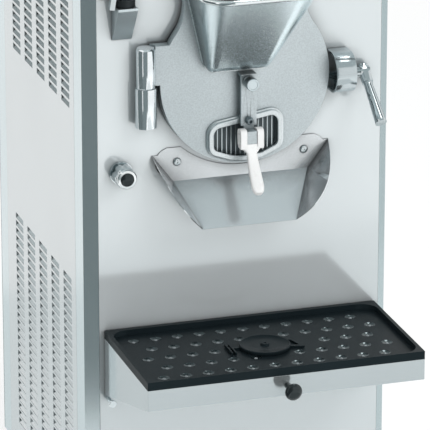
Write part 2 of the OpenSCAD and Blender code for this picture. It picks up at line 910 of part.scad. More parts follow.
// ---- outlet and gate ----
// Stepped ring around the window, hollowed behind for the grille.
module outlet_frame() {
    step_w = 2.6;
    step_h = 3.4;
    color(polished) in_frame() translate([0, 0, axis_z]) difference() {
        union() {
            plate_y(door_face - step_h, door_face) outlet_window(outlet_border);
            plate_y(door_face - outlet_raise, door_face) outlet_window(outlet_border - step_w);
        }
        plate_y(door_face - outlet_raise - 1, door_face + 1) outlet_window(0);
        plate_y(door_face - 3, door_face + 1) outlet_window(4);
    }
}

module outlet_grille() {
    color(steel) in_frame() translate([0, 0, axis_z]) plate_y(door_face - 2.9, door_face - 0.1) {
        difference() {
            outlet_window(3.9);
            outlet_window(0);
        }
        intersection() {
            outlet_window(2);
            for (k = [0 : bar_count - 1])
                translate([-47 + k * bar_pitch - bar_w / 2, -outlet_foot - 6]) square([bar_w, 80]);
        }
    }
}

module gate_plate() {
    color(black) in_frame() box(-57, 57, -14.7, -8, gate_foot, gate_top);
}

// Strap with a foot on the door at its top and the lever's block at its lower end.
module gate_strap() {
    back = strap_face + strap_t;
    shoulder_z = pivot_z + 12;
    color(steel) in_frame() difference() {
        union() {
            box(-strap_w / 2, strap_w / 2, strap_face, back, shoulder_z, strap_top);
            box(-strap_w / 2, strap_w / 2, strap_face, door_face, strap_top - 4, strap_top);
            box(-block_w / 2, block_w / 2, strap_face, back, pivot_z, shoulder_z + 1);
            box(-block_w / 2, block_w / 2, -pivot_y - 8, back, pivot_z - 13.5, pivot_z + 7.5);
        }
        translate([0, 0, axis_z]) along_y(knob_bolt_r, strap_face - 1, back + 1);
        translate([0, 0, strap_bolt_z]) along_y(bolt_r, strap_face - 1, back + 1);
        translate([0, -pivot_y, pivot_z]) along_x(lever_pin_r, -block_w, block_w);
    }
}

module strap_knob() {
    knob_l = 20;
    color(polished) in_frame() translate([0, 0, axis_z]) {
        along_y(knob_bolt_r, strap_face - 2, door_face);
        along_y(strap_knob_r, strap_face - knob_l, strap_face);
        translate([0, strap_face - knob_l, 0]) rotate([90, 0, 0])
            cylinder(r1 = strap_knob_r, r2 = strap_knob_r - 2, h = 2);
    }
}

module strap_bolt() {
    color(polished) in_frame() translate([0, 0, strap_bolt_z]) {
        along_y(bolt_r, strap_face - 2, door_face - outlet_raise);
        along_y(6.5, strap_face - 10, strap_face);
    }
}

// White fork: two arms beside the block, a yoke and a lever that bows outward.
module gate_lever() {
    arm_x = block_w / 2 + seam;
    arm_t = fork_w / 2 - arm_x;
    bar_r = 5.5;
    neck = [0, -4, -27];
    bend = [0, -19, -56];
    end = [0, -38, -78];
    color(white) in_frame() translate([0, -pivot_y, pivot_z]) {
        difference() {
            both_sides() {
                along_x(10, arm_x, arm_x + arm_t);
                box(arm_x, arm_x + arm_t, -9, 10, -20, 0);
            }
            along_x(lever_pin_r + run, -fork_w, fork_w);
        }
        hull() {
            box(-fork_w / 2, fork_w / 2, -9, 9, -19, -16);
            translate(neck) along_x(bar_r, -8, 8);
        }
        hull() {
            translate(neck) along_x(bar_r, -8, 8);
            translate(bend) along_x(bar_r, -9.5, 9.5);
        }
        hull() {
            translate(bend) along_x(bar_r, -9.5, 9.5);
            translate(end) rotate([48, 0, 0]) cylinder(r = 9, h = 2 * bar_r, center = true);
        }
    }
}

module lever_pin() {
    color(polished) in_frame() translate([0, -pivot_y, pivot_z])
        along_x(lever_pin_r, -fork_w / 2 + 1, fork_w / 2 - 1);
}

// ---- clamp ----
module clamp_stud() {
    color(polished) in_frame() translate([0, stud_y, stud_z]) {
        along_x(stud_r, door_r - 26, lever_x + 4);
        along_x(stud_r + 3, housing_x + housing_l, housing_x + housing_l + collar_t);
    }
}

module housing_section(r) {
    intersection() {
        translate([housing_y, housing_z]) circle(r, $fn = 64);
        translate([housing_back - 97, housing_z - r]) square([97, 2 * r]);
    }
    translate([housing_y, housing_z - r]) square([housing_back - housing_y, 2 * r]);
}

// Hollow cap, open to the door's edge and to the panel, with the keeper inside.
module clamp_housing() {
    inner_r = housing_r - housing_t;
    color(steel) in_frame() difference() {
        plate_x(housing_x, housing_x + housing_l) housing_section(housing_r);
        plate_x(housing_x - 1, housing_x + housing_l - housing_t) {
            housing_section(inner_r);
            translate([housing_back - 1, housing_z - inner_r]) square([2, 2 * inner_r]);
        }
        translate([0, stud_y, stud_z]) along_x(stud_r, housing_x - 1, housing_x + housing_l + 1);
    }
}

// The two turns that bring +Z onto a vector.
function tilt(v) = acos(v[2] / norm(v));
function turn(v) = atan2(v[1], v[0]);

// Spacer and head on the stud, and the tapered rod that hangs from them.
module clamp_lever() {
    head_r = 9.5;
    head_w = 8;
    spacer_x = housing_x + housing_l + collar_t + 0.2 - lever_x;
    color(polished) in_frame() translate([lever_x, stud_y, stud_z]) difference() {
        union() {
            along_x(head_r - 1.5, spacer_x, -head_w + 1);
            along_x(head_r, -head_w, head_w);
            rotate([0, tilt(rod_dir), turn(rod_dir)]) {
                translate([0, 0, -11]) cylinder(r = head_r - 0.4, h = 32);
                cylinder(r1 = rod_r - 3.3, r2 = rod_r, h = rod_l + 12);
            }
        }
        along_x(stud_r + run, spacer_x - 1, 5);
    }
}

module clamp_keeper() {
    color(dark_steel) in_frame() box(152, 168, -14, 0, stud_z - 22, stud_z - 10);
}

// ---- chute ----
// The point at t on the wing's free edge, which bows outward between tip and lip.
function bow(t) = let(c = [chute_w - 10, -100, chute_tip_z - 61])
    pow(1 - t, 2) * tip + 2 * t * (1 - t) * c + t * t * lip;

// A point of the wing's plane in the plane's own two axes.
function in_wing(p) = let(
    a = turn(wing_normal), b = tilt(wing_normal),
    ex = [cos(a) * cos(b), sin(a) * cos(b), -sin(b)],
    ey = [-sin(a), cos(a), 0]
) [(p - tip) * ex, (p - tip) * ey];

module chute_wing() {
    translate(tip + [0, lap, 0]) rotate([0, tilt(wing_normal), turn(wing_normal)]) linear_extrude(sheet)
        polygon(concat([in_wing(fold)], [for (t = [0 : 0.0625 : 1]) in_wing(bow(t))]));
}

module chute() {
    ear_r = 24;
    slide = lip - fold - [chute_lip_w - chute_fold_w, 0, 0];
    clear_r = door_r + 10;
    color(steel) in_frame() {
        plate_y(-fit - sheet, -fit) difference() {
            union() {
                polygon([[-chute_fold_w, chute_fold_z - lap], [chute_fold_w, chute_fold_z - lap],
                         [chute_w, chute_tip_z], [-chute_w, chute_tip_z]]);
                translate([-chute_w + ear_r, chute_tip_z - 13]) square([2 * (chute_w - ear_r), ear_r]);
                for (side = [-1, 1])
                    translate([side * (chute_w - ear_r - 6), chute_tip_z - 13]) circle(ear_r, $fn = 64);
            }
            translate([0, axis_z]) circle(clear_r, $fn = 96);
            for (side = [-1, 1]) translate([side * screw_x, screw_z]) circle(screw_r + run);
        }
        translate([0, -fit - sheet, chute_fold_z]) rotate([atan2(slide[2], slide[1]), 0, 0])
            linear_extrude(sheet) polygon([[-chute_fold_w - lap, 0], [chute_fold_w + lap, 0],
                [chute_lip_w + lap, norm(slide)], [-chute_lip_w - lap, norm(slide)]]);
        both_sides() chute_wing();
    }
}

module chute_screws() {
    color(polished) in_frame() for (side = [-1, 1]) translate([side * screw_x, 0, screw_z]) difference() {
        union() {
            along_y(screw_r, -2, 8);
            along_y(6.3, -4.2, -1.6);
        }
        rotate([0, 25, 0]) box(-7, 7, -5, -3.2, -0.7, 0.7);
    }
}

// ---- tap and shower ----
module tap_body() {
    color(polished) in_frame() translate([-tap_x, 0, tap_z]) {
        along_y(tap_r, -6, 0);
        along_y(tap_stem_r, 0, 40);
        along_y(tap_spindle_r, -30, 0);
    }
}

// Fluted knob: a round body with six lobes and a cap.
module tap_knob() {
    lobes = 6;
    color(polished) in_frame() translate([-tap_x, 0, tap_z]) difference() {
        union() {
            along_y(16.5, -tap_l + 2, -8);
            for (k = [0 : lobes - 1]) rotate([0, k * 360 / lobes, 0])
                translate([0, 0, 12.5]) along_y(5.4, -tap_l + 3, -10);
            along_y(11, -tap_l, -tap_l + 3);
        }
        along_y(tap_spindle_r + run, -31, -7);
    }
}

module shower_holster() {
    w = 16;
    h = 60;
    reach = 41;
    color(steel) in_frame() translate([-holster_x, 0, holster_z]) difference() {
        plate_x(-w, w) polygon([[0, 0], [-3, 0], [-reach, h - 4], [-reach, h], [0, h]]);
        translate([0, handset_y, holster_bore_z]) cylinder(r = handset_r + 1, h = h);
    }
}

// Shank, flaring body, spray head and the trigger that hangs down at its left.
module shower_handset() {
    grip_z = 25;
    grip_l = 74;
    head_h = 16;
    color(polished) in_frame() translate([-holster_x, handset_y, holster_z + holster_bore_z + 1]) {
        cylinder(r = handset_r, h = grip_z + 4);
        translate([0, 0, grip_z]) cylinder(r1 = 12, r2 = 15, h = grip_l);
        translate([0, 0, grip_z + grip_l]) cylinder(r1 = 15, r2 = 18, h = head_h);
        translate([-24, -8, 11]) rotate([0, 9, 0]) box(-4, 4, -5, 5, 0, grip_l);
    }
}

module handset_collar() {
    h = 11;
    color(black) in_frame() translate([-holster_x, handset_y, holster_z + 60.5]) difference() {
        cylinder(r = 16.5, h = h);
        translate([0, 0, -1]) cylinder(r = handset_r, h = h + 2);
    }
}

// ---- shelf ----
// Folded tray, open below; its side plates taper to the back, where keyholes hang on the studs.
module shelf_tray() {
    keyhole_r = hook_r + 0.3;
    foot_z = mat_z - tray_rear_h;
    color(steel) in_frame() difference() {
        union() {
            box(-shelf_w, shelf_w, tray_face, tray_back, mat_z - sheet, mat_z);
            box(-shelf_w, shelf_w, tray_face, tray_face + sheet, mat_z - tray_front_h, mat_z);
            both_sides() plate_x(shelf_w - sheet, shelf_w) polygon([
                [tray_back, mat_z], [tray_face, mat_z], [tray_face, mat_z - tray_front_h],
                [tray_back, foot_z]
            ]);
            box(-shelf_w, shelf_w, tray_back - sheet, tray_back, mat_z - 42, mat_z);
            both_sides() box(shelf_w - 12, shelf_w, tray_back - sheet, tray_back, foot_z, mat_z);
        }
        both_sides() translate([hook_x, 0, hook_z]) {
            along_y(keyhole_r, tray_back - 4, tray_back + 1);
            box(-keyhole_r, keyhole_r, tray_back - 4, tray_back + 1, -shelf_lift - 14, 0);
        }
        translate([0, 0, knob_z]) along_y(knob_stem_r + run, tray_face - 1, tray_face + 3);
    }
}

module mat_recess() {
    r = 28;
    x = shelf_w - 6;
    y0 = tray_face + 2.5;
    y1 = tray_back - 8.5;
    translate([-x + r, y0]) square([2 * (x - r), y1 - y0]);
    translate([-x, y0 + r]) square([2 * x, y1 - y0 - 2 * r]);
    for (cx = [-x + r, x - r], cy = [y0 + r, y1 - r]) translate([cx, cy]) circle(r);
}

module shelf_mat() {
    color(black) in_frame() difference() {
        box(-shelf_w, shelf_w, tray_face, tray_back, mat_z, shelf_z);
        translate([0, 0, floor_z]) linear_extrude(mat_recess_h + 1) mat_recess();
        for (p = dimples)
            translate([p[0], p[1], floor_z - 2.5]) cylinder(r = dimple_r, h = 5, $fn = 32);
        translate([0, locator_y, mat_z + 1]) cylinder(r = locator_pin_r + run, h = 20);
    }
}

// Turning disc with two ribs on an arm at the left and a pointed frame at the right, which hold a pan.
module pan_locator() {
    disc_h = 6;
    arm_h = 3;
    rib = [2.4, 40, 4.5];
    color(black) in_frame() translate([0, locator_y, floor_z + seam]) {
        translate([0, 0, -3.4]) cylinder(r = locator_pin_r, h = 5);
        cylinder(r = locator_r, h = disc_h);
        translate([0, 0, disc_h]) cylinder(r = 7, h = 1.5);
        box(-60, 0, 2, 9, 0, arm_h);
        for (x = [-60, -54]) translate([x - rib[0] / 2, -rib[1] / 2, 0]) cube(rib);
        linear_extrude(arm_h) difference() {
            polygon([[30, 20], [50, 17], [60, -20], [30, -14]]);
            polygon([[41, 13], [47, 12], [54, -13], [41, -9]]);
        }
    }
}

module shelf_pins() {
    color(polished) in_frame() both_sides() {
        translate([rest_x, 0, rest_z]) {
            along_y(rest_r, -32, sheet);
            along_y(rest_r + 2.4, -36, -31);
        }
        translate([hook_x, 0, hook_z]) {
            along_y(hook_r, -7, 12);
            along_y(hook_r + 4, -9, -5.2);
        }
    }
}

module shelf_knob() {
    reach = -knob_reach;
    color(black) in_frame() translate([0, 0, knob_z]) {
        along_y(knob_stem_r, reach + 6, tray_face + 20);
        along_y(knob_stem_r + 4, tray_face + 12, tray_face + 16);
        along_y(mushroom_r, reach + 4, reach + 9);
        translate([0, reach + 4, 0]) rotate([90, 0, 0])
            cylinder(r1 = mushroom_r, r2 = mushroom_r - 5, h = 4);
    }
}

base_frame();
corner_posts();
left_side_panel();
right_side_panel();
front_panel();
control_panel();
display_window();
start_button();
rear_panel();
top_cover();
caster_fork_left();
caster_fork_right();
rear_caster_forks();
caster_wheel_front_left();
caster_wheel_front_right();
caster_wheel_rear_left();
caster_wheel_rear_right();
freezing_cylinder();
insulation_jacket();
beater();
scraper_blades();
shaft_bearing();
driven_pulley();
drive_belt();
motor();
motor_pulley();
compressor();
condenser();
fan();
electric_box();
hinge_block();
hinge_pin();
door_plate();
hinge_sleeve();
door_gasket();
hopper();
outlet_frame();
outlet_grille();
gate_plate();
gate_strap();
strap_knob();
strap_bolt();
gate_lever();
lever_pin();
clamp_stud();
clamp_housing();
clamp_lever();
clamp_keeper();
chute();
chute_screws();
tap_body();
tap_knob();
shower_holster();
shower_handset();
handset_collar();
shelf_tray();
shelf_mat();
pan_locator();
shelf_pins();
shelf_knob();
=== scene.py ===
"""Looks of the floor-standing batch freezer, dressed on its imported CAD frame.

Everything is in metres in the frame's own axes: +Z up, the front faces -Y, X = 0 is the middle.
Front fittings are placed from the front panel's face, which the frame gives.
"""

import math

import bpy
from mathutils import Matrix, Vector


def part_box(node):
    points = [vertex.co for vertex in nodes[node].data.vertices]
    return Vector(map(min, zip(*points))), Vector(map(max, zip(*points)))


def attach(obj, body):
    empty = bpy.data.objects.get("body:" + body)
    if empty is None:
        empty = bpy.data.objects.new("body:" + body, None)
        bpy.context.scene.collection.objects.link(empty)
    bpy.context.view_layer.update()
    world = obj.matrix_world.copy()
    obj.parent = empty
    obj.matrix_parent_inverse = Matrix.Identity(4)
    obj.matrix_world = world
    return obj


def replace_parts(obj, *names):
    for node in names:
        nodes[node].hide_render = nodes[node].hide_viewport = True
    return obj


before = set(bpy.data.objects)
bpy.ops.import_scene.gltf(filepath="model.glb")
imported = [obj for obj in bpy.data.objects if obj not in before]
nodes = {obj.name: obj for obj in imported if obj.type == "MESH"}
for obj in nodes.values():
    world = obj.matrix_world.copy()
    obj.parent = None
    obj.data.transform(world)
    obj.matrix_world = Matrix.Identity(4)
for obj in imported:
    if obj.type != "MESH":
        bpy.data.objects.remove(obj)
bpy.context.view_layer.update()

MM = 0.001
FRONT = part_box("front_panel")[0].y
DOOR_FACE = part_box("outlet_frame")[1].y
STRAP_FACE = DOOR_FACE - 19 * MM


def middle(name):
    """The middle of a CAD node's box."""
    low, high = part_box(name)
    return (low + high) / 2


# ---- materials ----
class Look:
    """A Principled material whose colour, roughness and relief come from noise in object space."""

    def __init__(self, name, colour, metallic=0.0, roughness=0.5, **sockets):
        self.material = bpy.data.materials.new(name)
        self.material.use_nodes = True
        self.nodes = self.material.node_tree.nodes
        self.links = self.material.node_tree.links
        self.shader = self.nodes["Principled BSDF"]
        self.colour = colour
        self.shader.inputs["Metallic"].default_value = metallic
        self.shader.inputs["Roughness"].default_value = roughness
        for socket, value in sockets.items():
            self.shader.inputs[socket.replace("_", " ")].default_value = value
        self.place = self.nodes.new("ShaderNodeTexCoord").outputs["Object"]

    def noise(self, scale, stretch=(1, 1, 1), detail=2.0):
        """Noise with scale features to a metre, drawn out along the axes where stretch is small."""
        mapping = self.nodes.new("ShaderNodeMapping")
        mapping.inputs["Scale"].default_value = stretch
        self.links.new(self.place, mapping.inputs["Vector"])
        texture = self.nodes.new("ShaderNodeTexNoise")
        texture.inputs["Scale"].default_value = scale
        texture.inputs["Detail"].default_value = detail
        self.links.new(mapping.outputs["Vector"], texture.inputs["Vector"])
        return texture.outputs["Fac"]

    def cells(self, scale):
        """Distance from the middles of random cells, as on a cast skin."""
        texture = self.nodes.new("ShaderNodeTexVoronoi")
        texture.inputs["Scale"].default_value = scale
        self.links.new(self.place, texture.inputs["Vector"])
        return texture.outputs["Distance"]

    def shade(self, factor, dark, light):
        """Base colour from dark to light times the look's colour, as factor goes from 0.3 to 0.7."""
        ramp = self.nodes.new("ShaderNodeValToRGB")
        for element, position, gain in zip(ramp.color_ramp.elements, (0.3, 0.7), (dark, light)):
            element.position = position
            element.color = [min(1.0, c * gain) for c in self.colour] + [1.0]
        self.links.new(factor, ramp.inputs["Fac"])
        self.links.new(ramp.outputs["Color"], self.shader.inputs["Base Color"])
        return self

    def gloss(self, factor, low, high):
        """Roughness from low to high, as factor goes from 0.3 to 0.7."""
        spread = self.nodes.new("ShaderNodeMapRange")
        for socket, value in zip(("From Min", "From Max", "To Min", "To Max"), (0.3, 0.7, low, high)):
            spread.inputs[socket].default_value = value
        self.links.new(factor, spread.inputs["Value"])
        self.links.new(spread.outputs["Result"], self.shader.inputs["Roughness"])
        return self

    def painted_crevice_shade(self, distance, darkest, shut=0.25):
        """Paints shade into the base colour where neighbours closer than distance shut out the light: painted
        shade.

        The colour is multiplied by darkest where the open share of the sky is shut or less.
        """
        base = self.shader.inputs["Base Color"]
        colour = base.links[0].from_socket
        occlusion = self.nodes.new("ShaderNodeAmbientOcclusion")
        occlusion.samples = 8
        occlusion.inputs["Distance"].default_value = distance
        spread = self.nodes.new("ShaderNodeMapRange")
        for socket, value in zip(("From Min", "From Max", "To Min", "To Max"), (shut, 0.9, darkest, 1.0)):
            spread.inputs[socket].default_value = value
        self.links.new(occlusion.outputs["AO"], spread.inputs["Value"])
        scale = self.nodes.new("ShaderNodeVectorMath")
        scale.operation = "SCALE"
        self.links.new(colour, scale.inputs[0])
        self.links.new(spread.outputs["Result"], scale.inputs["Scale"])
        self.links.new(scale.outputs["Vector"], base)
        return self

    def smear(self, amount):
        """Spreads reflections along Z, as ground lines that run level do."""
        tangent = self.nodes.new("ShaderNodeTangent")
        tangent.direction_type = "RADIAL"
        tangent.axis = "Z"
        self.links.new(tangent.outputs["Tangent"], self.shader.inputs["Tangent"])
        self.shader.inputs["Anisotropic"].default_value = amount
        self.shader.inputs["Anisotropic Rotation"].default_value = 0.25
        return self

    def relief(self, factor, distance, strength):
        """Small bumps, as high as distance."""
        bump = self.nodes.new("ShaderNodeBump")
        bump.inputs["Distance"].default_value = distance
        bump.inputs["Strength"].default_value = strength
        self.links.new(factor, bump.inputs["Height"])
        self.links.new(bump.outputs["Normal"], self.shader.inputs["Normal"])
        return self


def brushed(name, colour, roughness, along, depth=1.0, metallic=0.85):
    """Steel ground along one axis: fine streaks and slow clouds."""
    stretch = tuple(0.012 if axis == along else 1.0 for axis in "XYZ")
    look = Look(name, colour, metallic=metallic)
    streaks = look.noise(900, stretch, 3.0)
    clouds = look.noise(5.0)
    look.shade(clouds, 0.98, 1.02)
    look.gloss(streaks, roughness - 0.02, roughness + 0.02)
    return look.relief(streaks, 0.00001 * depth, 0.12)


def blasted(name, colour, roughness):
    """Steel with a fine even grain, as left by glass beads."""
    look = Look(name, colour, metallic=1.0)
    grain = look.noise(420, detail=4.0)
    look.shade(grain, 0.91, 1.09)
    look.gloss(look.noise(9.0), roughness - 0.04, roughness + 0.04)
    return look.relief(grain, 0.00012, 0.5)


def polished(name, colour, roughness):
    """Bright steel with faint clouds in its gloss."""
    look = Look(name, colour, metallic=1.0)
    look.shade(look.noise(30.0), 0.97, 1.02)
    return look.gloss(look.noise(160.0, detail=3.0), roughness * 0.8, roughness * 1.25)


def plastic(name, colour, roughness, grain=500.0, depth=0.00003, specular=0.5):
    """Plastic, rubber, foam or paint, with a grain of the given fineness and depth."""
    look = Look(name, colour, Specular_IOR_Level=specular, Specular_Tint=(0.8, 0.97, 1.0, 1.0))
    fine = look.noise(grain)
    look.shade(look.noise(14.0), 0.94, 1.06)
    look.gloss(fine, roughness - 0.05, roughness + 0.05)
    return look.relief(fine, depth, 0.4)


def cast(name, colour, roughness):
    """Cast metal with a pitted skin."""
    look = Look(name, colour, metallic=1.0)
    pits = look.cells(260.0)
    look.shade(look.noise(40.0), 0.85, 1.1)
    look.gloss(pits, roughness - 0.08, roughness + 0.08)
    return look.relief(pits, 0.0002, 0.4)


LOOKS = {
    # Looks chained with a darkening near neighbouring parts have painted shade in their colour: the front
    # panel, chute, door, satin parts and funnel.
    "front": brushed("front_steel", (0.70, 0.75, 0.765), 0.10, "X", 0.25, 0.37)
    .smear(0.5).painted_crevice_shade(0.035, 0.3),
    "side": brushed("side_steel", (0.72, 0.76, 0.77), 0.22, "Z", metallic=0.7),
    "post": brushed("post_steel", (0.69, 0.78, 0.80), 0.22, "Z", 0.3),
    "sheet": brushed("sheet_steel", (0.57, 0.62, 0.635), 0.14, "X", 0.3, 0.8).smear(0.7),
    "slide": brushed("slide_steel", (0.77, 0.81, 0.83), 0.18, "X", 0.5).painted_crevice_shade(0.07, 0.02, 0.45),
    "door": blasted("door_steel", (0.66, 0.72, 0.74), 0.46).painted_crevice_shade(0.02, 0.55),
    "frame": blasted("frame_steel", (0.76, 0.81, 0.825), 0.34),
    # Bright polished steel for the door weld, and for the bead round the hopper's foot, which is a painted
    # highlight.
    "bead": polished("weld_and_highlight_bead", (0.93, 0.96, 0.97), 0.3),
    "satin": brushed("satin_steel", (0.66, 0.74, 0.765), 0.3, "Z").painted_crevice_shade(0.22, 0.12),
    "funnel": brushed("funnel_steel", (0.80, 0.91, 0.94), 0.26, "Z", metallic=0.95).painted_crevice_shade(0.3, 0.0, 0.36),
    "rim": polished("rim_steel", (0.86, 0.90, 0.91), 0.14),
    "polished": polished("polished_steel", (0.80, 0.85, 0.87), 0.12),
    "turned": brushed("turned_steel", (0.86, 0.91, 0.93), 0.13, "Z", metallic=0.95),
    "chrome": polished("chrome_steel", (0.58, 0.63, 0.645), 0.06),
    "shell": brushed("shell_steel", (0.52, 0.58, 0.60), 0.14, "X"),
    "dull": blasted("dull_steel", (0.30, 0.35, 0.37), 0.35),
    "frame_paint": plastic("frame_paint", (0.11, 0.13, 0.14), 0.45),
    "cast": cast("cast_aluminium", (0.50, 0.54, 0.56), 0.5),
    "fins": brushed("fin_aluminium", (0.62, 0.66, 0.68), 0.35, "Z"),
    "iron": plastic("iron_paint", (0.018, 0.02, 0.022), 0.4, 220.0, 0.0002),
    "mat": plastic("mat_plastic", (0.010, 0.016, 0.019), 0.38, 620.0, 0.00006, 0.08),
    "cup": plastic("cup_plastic", (0.012, 0.018, 0.020), 0.13, 90.0, 0.00001, 1.0),
    # The nub's grey, far lighter than the cup's, is a painted highlight: it stands in for the bright spot in
    # each cup.
    "nub": plastic("nub_painted_highlight", (0.22, 0.24, 0.25), 0.14, 90.0, 0.00001, 1.0),
    "knob": plastic("knob_plastic", (0.010, 0.012, 0.013), 0.16, 60.0, 0.00001),
    "white": plastic("white_plastic", (0.87, 0.875, 0.87), 0.3, 90.0, 0.00001),
    "seal": plastic("grey_seal", (0.16, 0.18, 0.19), 0.5, 700.0),
    "rubber": plastic("black_rubber", (0.012, 0.013, 0.014), 0.55, 700.0),
    "tyre": plastic("grey_tyre", (0.05, 0.053, 0.056), 0.6, 300.0, 0.0001),
    "foam": plastic("jacket_foam", (0.72, 0.62, 0.36), 0.8, 150.0, 0.0006),
    "gate": plastic("gate_plastic", (0.09, 0.11, 0.12), 0.22, 90.0, 0.00001),
    "glass": plastic("display_glass", (0.006, 0.008, 0.010), 0.07, 20.0, 0.0),
}

NODE_LOOKS = {
    "front": ["front_panel", "control_panel", "top_cover", "electric_box"],
    "side": ["left_side_panel", "right_side_panel", "rear_panel"],
    "post": ["corner_posts"],
    "sheet": ["shelf_tray"],
    "slide": ["chute"],
    "door": ["door_plate", "gate_strap"],
    "frame": ["outlet_frame"],
    "satin": ["shower_holster", "freezing_cylinder", "hopper", "outlet_grille"],
    "turned": ["hinge_sleeve", "hinge_block"],
    "shell": ["clamp_housing"],
    "chrome": ["clamp_stud", "clamp_lever", "tap_body", "shower_handset"],
    "polished": ["start_button", "caster_fork_left", "caster_fork_right", "rear_caster_forks", "beater",
                 "hinge_pin", "strap_knob", "strap_bolt", "lever_pin", "clamp_keeper", "chute_screws",
                 "tap_knob", "shelf_pins"],
    "frame_paint": ["base_frame"],
    "cast": ["shaft_bearing", "motor", "fan"],
    "fins": ["condenser"],
    "iron": ["driven_pulley", "motor_pulley", "compressor"],
    "mat": ["shelf_mat", "pan_locator"],
    "knob": ["shelf_knob"],
    "white": ["scraper_blades", "gate_lever"],
    "gate": ["gate_plate"],
    "rubber": ["drive_belt", "door_gasket", "handset_collar"],
    "tyre": ["caster_wheel_front_left", "caster_wheel_front_right", "caster_wheel_rear_left",
             "caster_wheel_rear_right"],
    "foam": ["insulation_jacket"],
    "glass": ["display_window"],
}


def finish_nodes():
    """Gives every CAD node its look."""
    for look, names in NODE_LOOKS.items():
        for name in names:
            for slot in nodes[name].material_slots:
                slot.material = LOOKS[look].material


def rounded(made, width, segments, angle):
    """Rounds the edges that are sharper than the angle."""
    bevel = made.modifiers.new("edge", "BEVEL")
    bevel.width = width
    bevel.segments = segments
    bevel.limit_method = "ANGLE"
    bevel.angle_limit = math.radians(angle)


def soften(width, *names):
    """Rounds the sharp edges of CAD nodes by width, so that they catch the light."""
    for name in names:
        weld = nodes[name].modifiers.new("weld", "WELD")
        weld.merge_threshold = 0.01 * MM
        rounded(nodes[name], width, 2, 40)


# ---- mesh helpers ----
def linked(made):
    """Puts an object into the scene."""
    bpy.context.scene.collection.objects.link(made)
    return made


def piece(name, shape, body, look, smooth=40):
    """An object from (vertices, faces), riding on a body, smooth over edges flatter than the angle."""
    vertices, faces = shape
    mesh = bpy.data.meshes.new(name)
    mesh.from_pydata([tuple(v) for v in vertices], [], faces)
    mesh.validate()
    mesh.polygons.foreach_set("use_smooth", [True] * len(mesh.polygons))
    mesh.set_sharp_from_angle(angle=math.radians(smooth))
    mesh.materials.append(LOOKS[look].material)
    made = linked(bpy.data.objects.new(name, mesh))
    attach(made, body)
    return made


def loft(rings, loop=False):
    """Skin over closed rings of equal length, with flat ends unless loop joins the last ring to the first."""
    count = len(rings[0])
    vertices = [p for ring in rings for p in ring]
    faces = []
    for i in range(len(rings) if loop else len(rings) - 1):
        a, b = i * count, ((i + 1) % len(rings)) * count
        for k in range(count):
            j = (k + 1) % count
            faces.append((a + k, a + j, b + j, b + k))
    if not loop:
        faces.append(tuple(reversed(range(count))))
        faces.append(tuple(range(len(vertices) - count, len(vertices))))
    return vertices, faces


def joined(*meshes):
    """Several (vertices, faces) as one."""
    vertices, faces = [], []
    for more_vertices, more_faces in meshes:
        base = len(vertices)
        vertices += more_vertices
        faces += [tuple(base + i for i in face) for face in more_faces]
    return vertices, faces


def axes(direction):
    """Two unit vectors square to a direction."""
    direction = Vector(direction).normalized()
    helper = Vector((0, 0, 1)) if abs(direction.z) < 0.9 else Vector((1, 0, 0))
    side = direction.cross(helper).normalized()
    return side, side.cross(direction)


def turned(origin, direction, profile, segments=48, flute=None):
    """A revolved solid. The profile is (radius, distance along the direction), both in millimetres.

    flute(angle, radius), where it is given, changes the radius at an angle.
    """
    direction = Vector(direction).normalized()
    side, up = axes(direction)
    rings = []
    for radius, along in profile:
        centre = Vector(origin) + direction * along * MM
        ring = []
        for k in range(segments):
            angle = 2 * math.pi * k / segments
            reach = (flute(angle, radius) if flute else radius) * MM
            ring.append(centre + (side * math.cos(angle) + up * math.sin(angle)) * reach)
        rings.append(ring)
    return loft(rings)


def swept(path, radius, sides):
    """A round bar along a path of points."""
    rings = []
    for i, point in enumerate(path):
        before = path[max(i - 1, 0)]
        after = path[min(i + 1, len(path) - 1)]
        side, up = axes(after - before)
        rings.append([point + (side * math.cos(a) + up * math.sin(a)) * radius
                      for a in (2 * math.pi * k / sides for k in range(sides))])
    return loft(rings)


def block(low, high):
    """A plain box between two corners, for joining into larger pieces."""
    (x0, y0, z0), (x1, y1, z1) = low, high
    lower = [(x0, y0, z0), (x1, y0, z0), (x1, y1, z0), (x0, y1, z0)]
    upper = [(x, y, z1) for x, y, z in lower]
    return loft([lower, upper])


# ---- cabinet ----
def panel_screws():
    """Pan heads of the sheet screws that hold the rear panel along both sides."""
    low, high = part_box("rear_panel")
    sheet = 1.5 * MM
    from_side, from_end, rows = 12 * MM, 30 * MM, 6
    head = [(3.2, 0), (3.2, 0.6), (2.72, 1.3), (1.6, 1.75), (0.1, 1.9)]
    heads = []
    for x in (low.x + from_side, high.x - from_side):
        for k in range(rows):
            z = low.z + from_end + k * (high.z - low.z - 2 * from_end) / (rows - 1)
            heads.append(turned((x, low.y + sheet, z), (0, 1, 0), head, 20))
    piece("panel_screws", joined(*heads), "cabinet", "polished")


def seam_seals():
    """Dark beads in the joints between the corner posts and the side panels."""
    low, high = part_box("left_side_panel")
    width, short = 1.4 * MM, 1 * MM
    reach = abs(low.x)
    beads = []
    for side in (-1, 1):
        x0, x1 = sorted((side * (reach - 0.12 * MM), side * (reach - 1.2 * MM)))
        for y in (low.y - width, high.y):
            beads.append(block((x0, y, low.z + short), (x1, y + width, high.z - short)))
    piece("seam_seals", joined(*beads), "cabinet", "seal")


def control_details():
    """A row of round keys under the display, each with its indicator lamp above it."""
    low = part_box("display_window")[0]
    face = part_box("control_panel")[0].y
    first, pitch = 20 * MM, 40 * MM
    key_drop, lamp_drop = 34 * MM, 16 * MM
    key = [(9, 0), (9, 1.4), (8, 2.2), (0.2, 2.4)]
    lens = [(2, 0), (2, 0.8), (1.2, 1.5), (0.1, 1.7)]
    keys, lamps = [], []
    for k in range(4):
        x = low.x + first + pitch * k
        keys.append(turned((x, face, low.z - key_drop), (0, -1, 0), key, 32))
        lamps.append(turned((x, face, low.z - lamp_drop), (0, -1, 0), lens, 16))
    piece("control_keys", joined(*keys), "cabinet", "knob")
    piece("control_lamps", joined(*lamps), "cabinet", "white")


